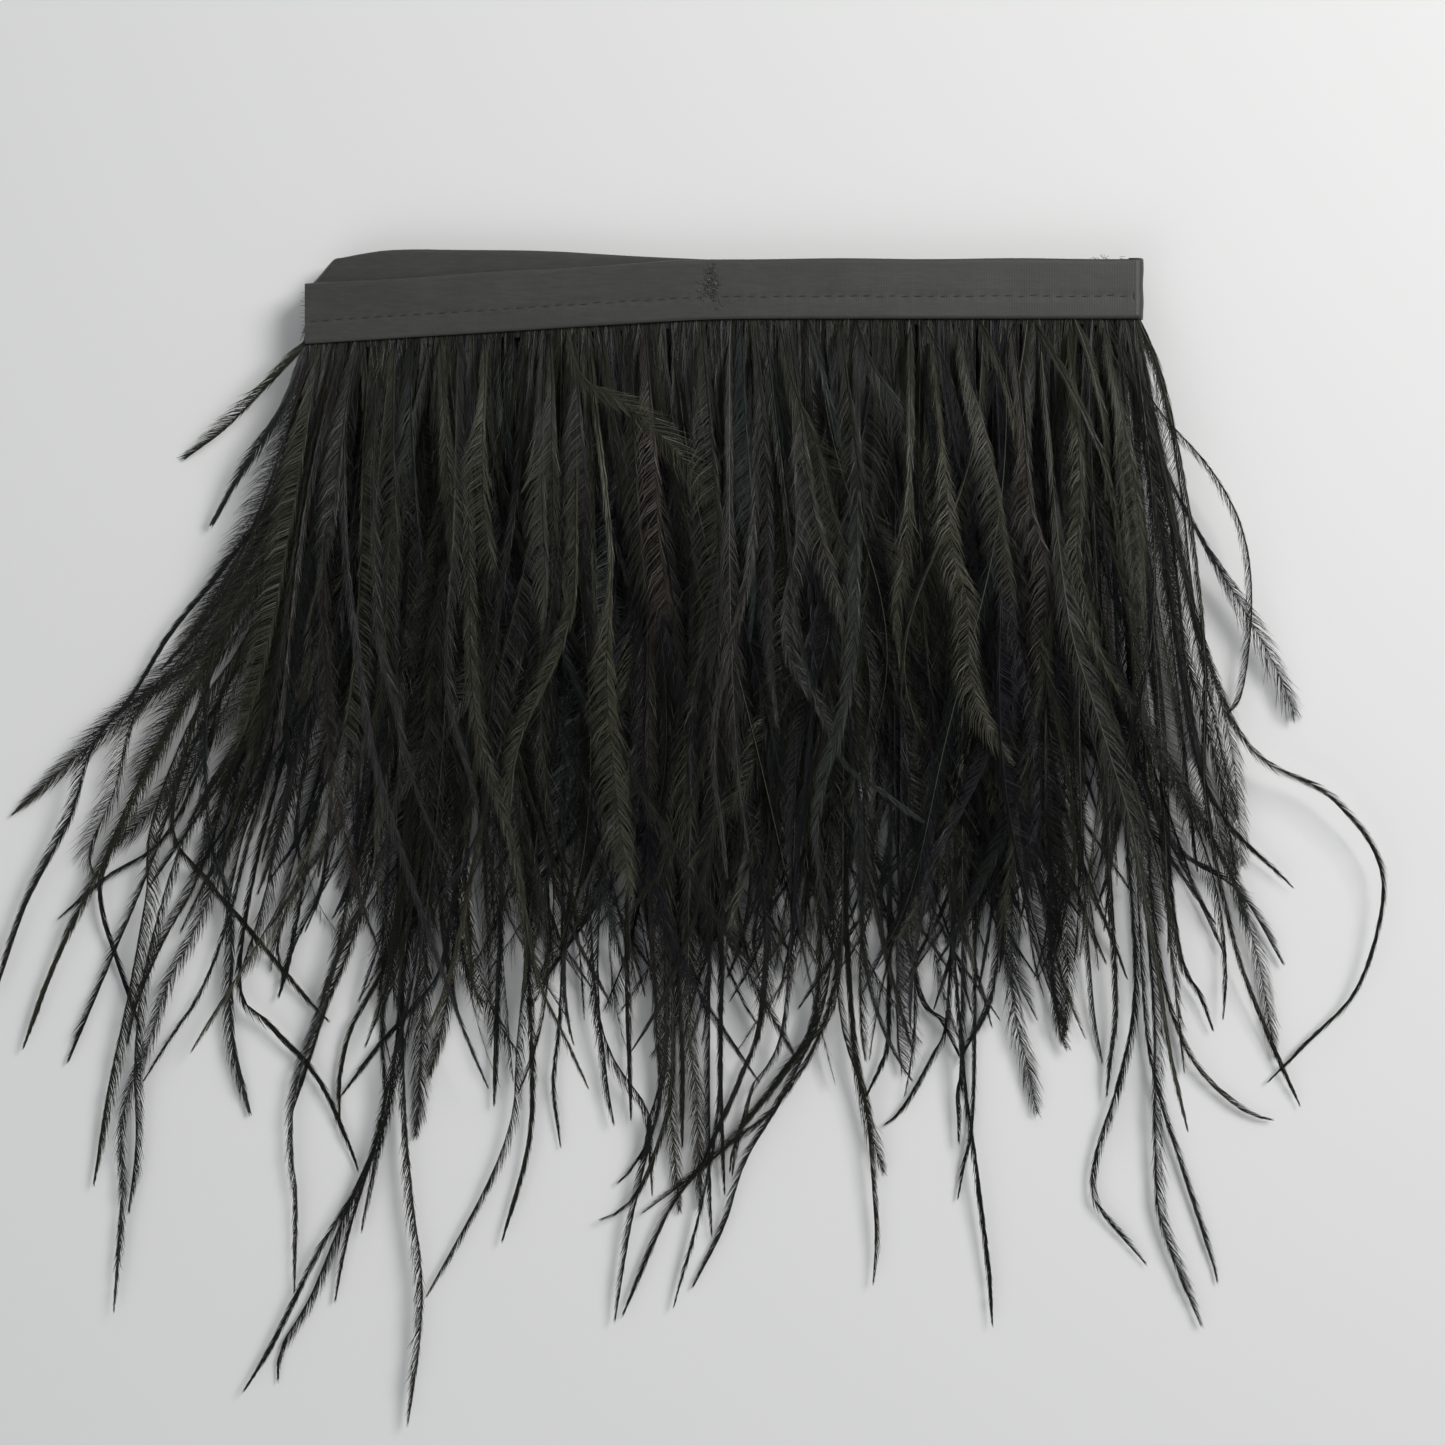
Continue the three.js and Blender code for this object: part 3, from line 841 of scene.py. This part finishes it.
# The flues that stand out are in four groups, and in each by leaf. First, those on top of the pile.
FRONT_FLUES = {}
# Their tones, which follow their openness, are mostly high: the flues on top of the pile get a brighter
# painted sheen, as if they faced the light.
FRONT_FLUES[5] = [
    flue(-34, [(-30, -19), (-21, -25), (-15, -30), (-9, -36), (-5, -42), (-1, -48)], 0.85, 0.75, bias=0.1,
         opens=0.3),
    flue(-77, [(-79, -28), (-80.5, -42), (-83, -56), (-88, -72)], 0.6, 0.8, bias=0.6),
    flue(-80, [(-79, -50), (-76.5, -72), (-72.5, -98), (-67, -118), (-60, -140), (-54, -157), (-49.5, -168)],
         0.12, 0.5),
    flue(-73, [(-73, -40), (-72, -72), (-70, -82), (-67, -96), (-63, -110), (-57, -122)], 0.2, 0.6),
    flue(-82, [(-83, -60), (-82.5, -82), (-82, -97), (-80, -110), (-76, -128), (-72, -140)], 0.75, 0.45,
         bias=0, opens=0.5),
    flue(-69.5, [(-69, -25), (-68.5, -50), (-69, -66)], 0.6, 0.6, bias=0.7),
    flue(-66, [(-65, -28), (-64.3, -45), (-63.5, -62)], 0.6, 0.45, bias=0.7),
    flue(-51, [(-50, -18), (-50.2, -40), (-49.5, -52), (-47, -66)], 0.95, 0.9, bias=0.5, opens=0.4),
    flue(-60, [(-58, -30), (-57, -45), (-56.5, -62)], 0.6, 0.45, bias=0),
    flue(-37, [(-36, -20), (-35.7, -38), (-35.5, -52), (-33, -66)], 0.8, 0.65, bias=0.4),
    flue(-32, [(-31, -18), (-29.8, -32), (-29, -46), (-30.5, -62)], 0.9, 0.5, bias=0.6),
    flue(-29, [(-27, -25), (-25, -40), (-23.4, -58), (-24.5, -80), (-23.7, -95), (-22, -112), (-19.5, -128)],
         1.0, 0.85, bias=0.25, opens=0.62),
    flue(-17, [(-15.5, -25), (-14.4, -40), (-13.7, -54), (-12, -66), (-10.5, -80)], 0.75, 0.75, bias=0.7),
    flue(-20, [(-19, -30), (-18, -49), (-17, -60), (-16, -72)], 0.5, 0.5, bias=0.6),
    flue(-5, [(-3.5, -25), (-1.5, -50), (-1.3, -66), (-3, -84)], 0.9, 0.5, bias=0.7),
    flue(7, [(6, -50), (2.4, -71), (-1, -84), (-2.4, -98), (-0.8, -112), (0.5, -124)], 0.2, 0.7),
    flue(-31, [(-31, -60), (-32.6, -71), (-36, -80), (-41, -90), (-44, -99), (-45, -110)], 0.4, 0.75,
         bias=0.5),
    flue(-38, [(-38, -40), (-37.3, -62), (-38, -76), (-39, -88)], 0.6, 0.9, bias=0.6),
    flue(-56, [(-56, -50), (-58, -76), (-57.5, -88), (-55, -98), (-52, -110)], 0.3, 0.7),
    flue(-54, [(-53, -60), (-52, -88), (-48, -104), (-44, -118), (-41, -134), (-38.5, -146), (-33, -158),
         (-28.5, -168)], 0.45, 0.45, bias=0, opens=0.3),
    flue(3.5, [(4, -23), (4.6, -34), (6, -52), (6.3, -64), (5.4, -74)], 0.7, 1.0, bias=0.9, opens=0.25),
    flue(6, [(8, -30), (9, -50), (9, -70), (11, -92)], 0.5, 0.4, bias=0.3),
    flue(11, [(14, -20), (18, -31), (21, -43), (26, -60), (28, -72)], 0.75, 0.6, bias=0.6),
    flue(13, [(15.5, -25), (17, -40), (19, -50), (21.5, -58), (24.6, -70), (25, -80), (27, -93)], 0.75, 0.85,
         bias=0.5, opens=0.35),
    flue(14, [(14.5, -30), (15.2, -52), (12.7, -66), (13, -76), (16.2, -83), (22, -93)], 0.45, 0.9,
         bias=-0.5),
    flue(24, [(25.5, -22), (27.5, -38), (29.2, -50), (30.5, -62)], 0.8, 0.55, bias=0.5),
    flue(27, [(30, -16), (34.5, -24), (37.5, -31), (41, -40)], 0.85, 0.6, bias=0.4),
    flue(41, [(43, -10), (46, -18), (49, -28), (52, -38)], 0.2, 0.55),
    flue(49, [(50.5, -18), (53.6, -30), (56, -42), (58, -54), (60.2, -68), (60, -80)], 0.8, 0.95, bias=0.5,
         opens=0.3),
    flue(52, [(54, -8), (58, -20), (61, -32), (64, -44)], 0.1, 0.7),
    flue(43, [(44.5, -25), (46, -44), (47.5, -57), (50.2, -66), (51, -80), (54, -90), (60.5, -100)], 0.95,
         0.95, bias=0.3, opens=0.42),
    flue(60, [(61.5, -25), (63.3, -46), (66.2, -56), (66.9, -68), (66, -80)], 0.85, 0.7, bias=0.6, opens=0.5),
    flue(66, [(67.5, -30), (69.5, -55), (72, -73), (76, -86), (80.5, -100), (84.5, -113), (87, -127),
         (90, -142), (93, -160), (97, -177)], 0.65, 0.65, bias=0, opens=0.35),
    flue(72, [(73.5, -40), (73, -56), (75, -66), (78, -76), (83, -86)], 0.6, 0.7, bias=0.4),
    flue(64, [(71, -20), (78, -36), (81.6, -50), (83.5, -64)], 0.05, 0.8),
    flue(73, [(76, -17), (79, -31), (80, -44)], 0.05, 0.8),
    flue(79, [(82, -25), (84.7, -40), (86, -50), (87.5, -64), (89, -78)], 0.75, 0.8, bias=0.6, opens=0.4),
    flue(8, [(12, -40), (16, -75), (20.5, -90), (25, -99.5), (33, -105.5), (42.7, -112.5)], 0.05, 0.8),
    flue(39, [(38, -45), (37, -58), (35.8, -68), (37, -82)], 0.7, 0.7, bias=0, opens=0.6),
    flue(28, [(27, -70), (24.5, -90), (21.8, -99), (19.8, -108), (19.3, -118), (22, -134)], 0.3, 0.75,
         bias=0.3),
    flue(17, [(19.5, -16), (22, -26), (24.5, -36)], 0.05, 0.8),
    flue(1, [(1, -60), (2, -90), (3, -104), (5, -118)], 0.75, 0.4, bias=0, opens=0.5),
]

# The fan at the left end.
LEFT_FLUES = {}
LEFT_FLUES[5] = [
    flue(-86, [(-90, -14), (-97, -21), (-106, -29), (-115, -35)], 0.55, 0.3, opens=0.15),
    flue(-87, [(-93, -25), (-102, -38), (-109, -49)], 0.5, 0.35, opens=0.15),
    flue(-85, [(-90, -24), (-97, -44), (-106, -62), (-113, -72)], 0.7, 0.4),
    flue(-81, [(-86, -40), (-91, -66), (-97, -88), (-103, -104)], 0.7, 0.45),
    flue(-80, [(-84, -45), (-88, -75), (-91, -100), (-97, -122)], 0.6, 0.35),
    flue(-82, [(-89, -38), (-99, -62), (-109, -77), (-123, -87), (-136, -97), (-152, -111)], 0.65, 0.4,
         bias=0, opens=0.2, closes=0.98),
    flue(-84, [(-93, -45), (-106, -72), (-116, -88), (-125, -104)], 0.75, 0.3, closes=1.1),
    flue(-82, [(-91, -50), (-102, -80), (-112, -100), (-118, -112)], 0.7, 0.35, closes=1.1),
    flue(-82, [(-90, -50), (-99.5, -92), (-105, -102), (-107.7, -109)], 0.5, 0.4),
]
LEFT_FLUES[4] = [
    flue(-83, [(-88, -35), (-95, -60), (-104, -80), (-113, -96)], 0.7, 0.35),
    flue(-84, [(-92, -38), (-104.5, -57), (-117, -72), (-127, -87), (-131, -90)]),
    flue(-80, [(-90, -45), (-110, -76), (-131, -92), (-139, -112), (-148, -129), (-156, -151)], 0.35, 0.2,
         bias=0.3, closes=0.85),
    flue(-80, [(-90, -50), (-104, -70), (-118, -94), (-128, -114), (-135, -127), (-143, -144),
         (-149.5, -161)], 0.55, 0.3, bias=0, closes=0.85),
    flue(-78, [(-86, -50), (-98, -80), (-111, -97), (-123, -111), (-131, -118)], 0.65, 0.15, closes=1.1),
    flue(-80, [(-87, -50), (-99, -85), (-106, -106), (-113, -124)], 0.65, 0.25, closes=1.1),
    flue(-86, [(-95, -40), (-107, -62), (-116, -76)], 0.7, 0.3, closes=1.1),
    flue(-81, [(-92, -40), (-108, -75), (-109.5, -113), (-105, -130), (-105, -157), (-101, -175)], 0.3, 0.3),
    flue(-74, [(-80, -60), (-92.6, -107), (-98, -129), (-103, -144)], 0.35, 0.2),
    flue(-76, [(-84, -70), (-90.7, -112), (-90, -122), (-95, -137), (-94, -146)]),
    flue(-82, [(-89, -55), (-97, -98), (-103, -118), (-106, -132)], 0.55, 0.3),
]
LEFT_FLUES[3] = [
    flue(-86, [(-91, -30), (-99, -52), (-109, -68), (-120, -80)], 0.5, 0.35),
    flue(-81, [(-92, -45), (-108, -70), (-124, -88), (-129.6, -106), (-135, -118), (-134, -124)], 0.6, 0.25,
         bias=0.4, closes=1.1),
    flue(-79, [(-88, -50), (-104, -78), (-111, -100), (-119.5, -116), (-131.5, -124), (-142, -133)], 0.05,
         0.05),
    flue(-84, [(-95, -50), (-110, -85), (-117, -112), (-111, -123), (-101, -135), (-88, -151), (-84, -155)],
         0.03),
    flue(-82, [(-94, -60), (-112, -90), (-121, -113), (-122, -126), (-126, -148), (-131, -170),
         (-134.5, -190)], 0.35, 0.2, opens=0.5, closes=0.95),
    flue(-78, [(-90, -70), (-112, -110), (-122, -140), (-125, -161), (-125, -180), (-127, -196)], 0.2),
    flue(-77, [(-86, -60), (-98, -105), (-105, -132), (-111, -148), (-117, -157), (-124, -168)], 0.08),
    flue(-73, [(-80, -70), (-89, -122), (-92.6, -142), (-95, -150)], 0.35),
    flue(-79, [(-87, -60), (-96, -95), (-107, -118), (-116, -136)], 0.5, 0.25),
    flue(-76, [(-86, -70), (-99, -120), (-103, -147), (-98, -154), (-87, -166), (-80, -181), (-78, -187)],
         0.05, 0.05),
]
LEFT_FLUES[2] = [
    flue(-83, [(-97, -60), (-118, -92), (-131, -118), (-133, -129), (-129.6, -142), (-124.6, -157)], 0.05,
         0.05),
    flue(-80, [(-90, -60), (-104, -100), (-111, -122), (-119.5, -138), (-125, -151), (-127, -160)], 0.35,
         0.2),
    flue(-79, [(-88, -60), (-102, -105), (-111, -132), (-118, -146), (-122, -158), (-128, -175),
         (-128, -192), (-130, -217)], 0.5, 0.25, bias=0, opens=0.5, closes=0.95),
    flue(-81, [(-93, -60), (-112, -95), (-122, -122), (-131, -143), (-140, -164)], 0.05),
]

# Long strands that reach out below the pile.
LOWER_FLUES = {}
LOWER_FLUES[5] = [
    flue(-15, [(-16, -90), (-14.6, -150), (-13.6, -167), (-16, -176), (-15.5, -192)], 0.45, 0.2, opens=0.5,
         closes=0.95),
    flue(-10, [(-12, -90), (-12.7, -150), (-11.8, -170), (-9.6, -196)], 0.5, 0.35, bias=0, opens=0.5,
         closes=1.1),
    flue(-6, [(-7, -90), (-7.7, -152), (-6, -170), (-5.2, -195)], 0.5, 0.35, bias=0, opens=0.5, closes=1.1),
    flue(1, [(0, -100), (-0.8, -159), (0, -192)], 0.15, 0.15),
    flue(26, [(25, -100), (24, -147), (17, -160), (4, -177), (-5, -186), (-18, -196)], 0.15, 0.1),
    flue(9, [(10, -100), (8, -150), (4, -165), (-3, -181), (-5.5, -187)], 0.4, 0.2),
    flue(50, [(49, -100), (47.4, -150), (45.5, -159), (38, -173), (33.6, -177)], 0.04, 0.05),
]
LOWER_FLUES[4] = [
    flue(-68, [(-71, -90), (-77, -130), (-85, -152), (-92, -174)], 0.35, 0.1),
    flue(-64, [(-66, -90), (-70, -135), (-75, -148), (-79.4, -156), (-82, -167), (-82, -177)]),
    flue(-58, [(-60, -90), (-65, -140), (-70.5, -165), (-74.5, -182), (-80, -200), (-83, -215)], 0.05),
    flue(-57, [(-59, -90), (-65, -145), (-71, -170), (-76, -192), (-77.5, -200)]),
    flue(-52, [(-54, -90), (-59, -138), (-65, -150), (-73, -159), (-82, -171)], 0.06),
    flue(-56, [(-60, -90), (-63, -135), (-64.5, -158), (-65, -170), (-66, -180)], 0.5, 0.3, bias=0,
         opens=0.6, closes=1.1),
    flue(-50, [(-54, -90), (-57, -130), (-59, -150), (-63, -167)], 0.45, 0.3, opens=0.6, closes=1.1),
    flue(-46, [(-47, -90), (-47.5, -130), (-48.4, -150), (-49.2, -173)], 0.35, 0.1),
    flue(-35, [(-38, -90), (-42, -140), (-44, -160), (-45, -174), (-50.4, -189), (-64, -214)], 0.3, 0.15,
         closes=0.85),
    flue(-32, [(-34, -90), (-34.5, -140), (-35.3, -156), (-36.6, -168), (-35, -182)], 0.05),
    flue(-22, [(-24, -90), (-27, -140), (-25.3, -165), (-23.4, -177)], 0.25),
    flue(-27, [(-29, -90), (-28, -140), (-24.7, -160), (-16.5, -173), (-16.5, -182), (-20, -198),
         (-23.4, -219)]),
    flue(-13, [(-13, -90), (-12, -150), (-14.5, -175), (-19, -185), (-23, -189.5)], 0.04),
    flue(-17, [(-14, -90), (-10.5, -140), (-9, -160), (-9, -182)], 0.45, 0.2),
    flue(-2, [(-3, -100), (-3.3, -160), (-3.2, -185), (-2.7, -201)]),
    flue(28, [(27, -100), (23, -148), (12, -171), (0.4, -181), (-11, -193), (-22, -218)]),
    flue(24, [(23, -100), (22, -145), (13.6, -168), (4.5, -184), (0, -198), (-7, -212)], 0.15),
    flue(15, [(15, -100), (12.4, -154), (6, -168), (2.3, -181), (1.4, -188)], 0.35),
    flue(21, [(22, -100), (24, -150), (29.5, -171), (31.4, -190), (32, -201), (31.4, -211)]),
    flue(35, [(35, -100), (34.8, -150), (34.6, -160), (30, -171)], 0.05),
    flue(37, [(37, -100), (36.7, -150), (37.7, -166)], 0.55, 0.25, opens=0.8, closes=1.3),
    flue(36, [(36, -110), (40.5, -147), (45.5, -154), (50.2, -163)], 0.05),
    flue(57, [(59, -110), (57, -147), (52, -159), (50, -164)], 0.3),
    flue(60, [(61, -100), (61, -147), (64.4, -164), (66.5, -175)], 0.5, 0.25, bias=0, opens=0.75, closes=1.2),
    flue(67, [(68, -100), (70, -147), (73.5, -157)], 0.25),
    flue(74, [(75, -100), (78, -147), (80.6, -164)], 0.2),
    flue(76, [(80, -100), (83, -148), (82.2, -161), (81.2, -171)]),
    flue(84, [(91, -80), (94, -130), (95.7, -147), (97.8, -166)], 0.2),
    flue(85, [(91, -90), (96, -137), (101, -149), (104, -157)], 0.06),
]
LOWER_FLUES[3] = [
    flue(-70, [(-74, -90), (-80, -130), (-84, -148), (-90.7, -167), (-92, -181), (-91, -192), (-91.5, -213)],
         0.18),
    flue(-62, [(-64, -90), (-69, -135), (-72.5, -154), (-72, -173), (-77, -188), (-86, -203), (-96, -223),
         (-102.7, -234)]),
    flue(-37, [(-40, -90), (-42, -130), (-41, -159), (-41.6, -180), (-47.5, -202)], 0.3, 0.1),
    flue(-18, [(-20, -90), (-21, -140), (-20, -176)]),
    flue(-12, [(-13, -100), (-11, -160), (-14, -180), (-20, -193), (-27, -197)], 0.04),
    flue(0, [(-1, -100), (-1, -165), (-4.6, -192), (-11, -216)], 0.05),
    flue(20, [(20, -100), (19.5, -150), (12, -166), (3, -178), (1, -187)], 0.2),
    flue(24, [(25, -110), (27, -155), (30, -174), (34, -187.6)], 0.5, 0.15, opens=0.95, closes=1.3),
    flue(48, [(50, -100), (50, -162), (49.3, -168), (49.6, -181)]),
    flue(46, [(47, -110), (50.6, -164), (52.5, -179), (56, -206), (57, -220)], 0.05),
    flue(69, [(69, -100), (70.3, -150), (73, -161)], 0.45, closes=1.2),
    flue(80, [(84, -100), (87, -145), (84, -166), (79.4, -181), (78, -190), (80, -195), (90, -207)], 0.18),
    flue(83, [(87, -100), (91, -150), (91.3, -170), (91.6, -185), (93, -198), (101.5, -220)], 0.3, bias=-0.5),
    flue(80, [(88, -90), (91, -135), (97.6, -160), (109, -173), (117, -176)], 0.05),
]
LOWER_FLUES[2] = [
    flue(-60, [(-62, -90), (-67, -135), (-70, -160), (-72.5, -176), (-79, -191), (-88, -213), (-94.5, -224),
         (-95.4, -232)]),
    flue(-63, [(-66, -90), (-68, -140), (-68, -170), (-66.4, -193), (-64.6, -207), (-64.8, -221),
         (-67.4, -241)], 0.4, 0.15, opens=0.88, closes=1.0),
    flue(52, [(53, -110), (53, -170), (51, -185), (49.6, -193)], 0.02),
    flue(82, [(86, -90), (89, -150), (92, -169), (97, -185), (104.5, -208), (105, -211)], 0.04),
]

# Strands and plumes that leave at the right end.
RIGHT_FLUES = {}
RIGHT_FLUES[5] = [
    flue(86, [(91.7, -19), (97.6, -48), (101, -79), (101.3, -107), (107.7, -137), (114, -154),
         (122.6, -173)], 0.1, 0.05),
    flue(80, [(89.6, -23.5), (102.4, -38.5), (109, -51), (111.3, -66), (110, -84), (106.7, -90)], 0.15, 0.08),
    flue(84, [(94, -50), (103, -82), (112, -98), (128, -107), (139, -123), (135, -146), (124, -159),
         (115.4, -168)], 0.12, 0.08),
    flue(84, [(91.7, -35), (99, -50), (115, -76), (121.6, -90)], 0.6, 0.15, bias=0, opens=0.7, closes=1.3),
    flue(84, [(90, -40), (96, -75), (101, -100)], 0.4, 0.45),
    flue(86, [(91, -32), (97, -62), (103, -88), (109, -112)], 0.4, 0.35, closes=1.1),
    flue(82, [(88, -50), (93, -90), (95, -125)], 0.8, 0.6),
    flue(80, [(86, -60), (91, -100), (94, -132)], 0.8, 0.6),
    flue(86, [(91, -18), (95, -37), (100, -66)], 0.5, 0.3),
]
RIGHT_FLUES[4] = [
    flue(86, [(96, -80), (103.5, -108), (121, -126.5)], 0.04),
    flue(86, [(98, -65), (106.7, -94), (110, -122)], 0.6, 0.2, bias=0, opens=0.7, closes=1.2),
    flue(85, [(94, -70), (98.7, -107), (100.8, -123)]),
    flue(85, [(90, -40), (97, -75), (105, -102), (109, -124)], 0.4, 0.3, closes=1.1),
    flue(85, [(93, -45), (98, -85), (104, -115)], 0.65, 0.4),
    flue(85, [(88, -22), (92, -45), (95, -66)], 0.6, 0.3),
]
RIGHT_FLUES[3] = [
    flue(83, [(88, -80), (93, -114), (109, -127), (119, -143)], 0.04),
    flue(86, [(97, -80), (104.6, -113), (113, -140), (117.4, -163)], 0.55, 0.2, bias=0, opens=0.65,
         closes=1.1),
]

# The groups of flues that stand out, each with a factor for how full its barbules are.
PLACED_FLUES = ((FRONT_FLUES, 1.0), (LEFT_FLUES, 1.3), (LOWER_FLUES, 1.2), (RIGHT_FLUES, 1.05))
PILE = {5: (140, 1.0), 4: (120, 0.9), 3: (110, 0.7), 2: (100, 0.6), 1: (100, 0.6)}  # flues, detail
ROOT_FLUES = 110  # short ones on the top leaf
SECTIONS = {5: 9, 4: 6, 3: 3, 2: 3, 1: 3}  # pieces that a leaf's fringe is divided into
THINNED_FROM = 0.86 * FOLD_X  # beyond this the pile is thinner


def placed_flues(leaf):
    """This leaf's share of the flues that stand out, each with its root x, path and style."""
    found = []
    for group, fuller in PLACED_FLUES:
        for root, points, openness, looks in group.get(leaf, ()):
            if group is FRONT_FLUES:
                heights = (RNG.uniform(7.5, 9.5), RNG.uniform(9, 12))
            elif leaf == TOP:
                heights = (RNG.uniform(1, 3), RNG.uniform(0.8, 2.2))
            else:
                heights = (RNG.uniform(1, 3.5), RNG.uniform(0.8, 2.5))
            root_x = root * MM
            found.append((root_x, *placed_flue(leaf, root_x, points, openness, looks, *heights, fuller)))
    return found


def all_flues(leaf):
    """The pile, then the short flues at the roots, then those that stand out."""
    left, right = leaf_ends(leaf)
    count, detail = PILE[leaf]
    locks = make_locks(leaf)
    flues = []
    for i in range(count):
        root_x = left + (i + RNG.uniform(0.1, 0.9)) / count * (right - left)
        if abs(root_x) > THINNED_FROM and RNG.random() < (0.6 if root_x > 0 else 0.3):
            continue
        flues.append((root_x, *pile_flue(leaf, root_x, locks, detail)))
    for i in range(ROOT_FLUES if leaf == TOP else 0):
        root_x = left + (i + 0.5) / ROOT_FLUES * (right - left)
        flues.append((root_x, *root_flue(leaf, root_x)))
    return flues + placed_flues(leaf)


def make_flue_piece(name, flues, finish):
    """Several flues as one mesh, each with a tint of its own."""
    parts, tints, quills, painted_sheens = [], [], [], []
    for path, style in flues:
        points, quads, quill, painted_sheen = make_flue(path, style)
        parts.append((points, quads))
        quills.append(quill)
        painted_sheens.append(painted_sheen)
        tints.append(np.full(len(points), RNG.random()))
    values = {"tint": tints, "quill": quills, "painted_sheen": painted_sheens}
    attributes = [(key, np.concatenate(value)) for key, value in values.items()]
    return quads_to_object(name, *joined(parts), finish, attributes)


def make_fringe(leaf, finish):
    """All of one leaf's flues, in a few pieces side by side."""
    left, right = leaf_ends(leaf)
    sections = SECTIONS[leaf]
    groups = [[] for _ in range(sections)]
    for root_x, path, style in all_flues(leaf):
        share = (root_x - left) / (right - left)
        groups[min(sections - 1, max(0, int(share * sections)))].append((path, style))
    names = ("left", "middle", "right")
    for number, group in enumerate(groups):
        piece = make_flue_piece(f"flues_{leaf}_{number + 1}", group, finish)
        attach(piece, f"leaf_{leaf}")
        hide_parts(f"fringe_{leaf}_{names[number * len(names) // sections]}")
        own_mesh(piece)


# ---------- the whole pack ----------

make_camera()
make_studio()

SATIN = make_satin_finish()
TAPE = make_tape_finish()
THREAD = make_thread_finish()
LINT = make_lint_finish()
FEATHER = make_feather_finish()

for leaf in range(1, LEAVES + 1):
    make_ribbon(leaf, SATIN)
    make_tape(leaf, TAPE)
    for thread in ("needle_thread", "bobbin_thread"):
        make_stitches(leaf, thread, THREAD)
    make_fringe(leaf, FEATHER)
for fold in range(1, LEAVES):
    make_fold(fold, SATIN)
make_knot(LINT)
make_frayed_ends(SATIN)
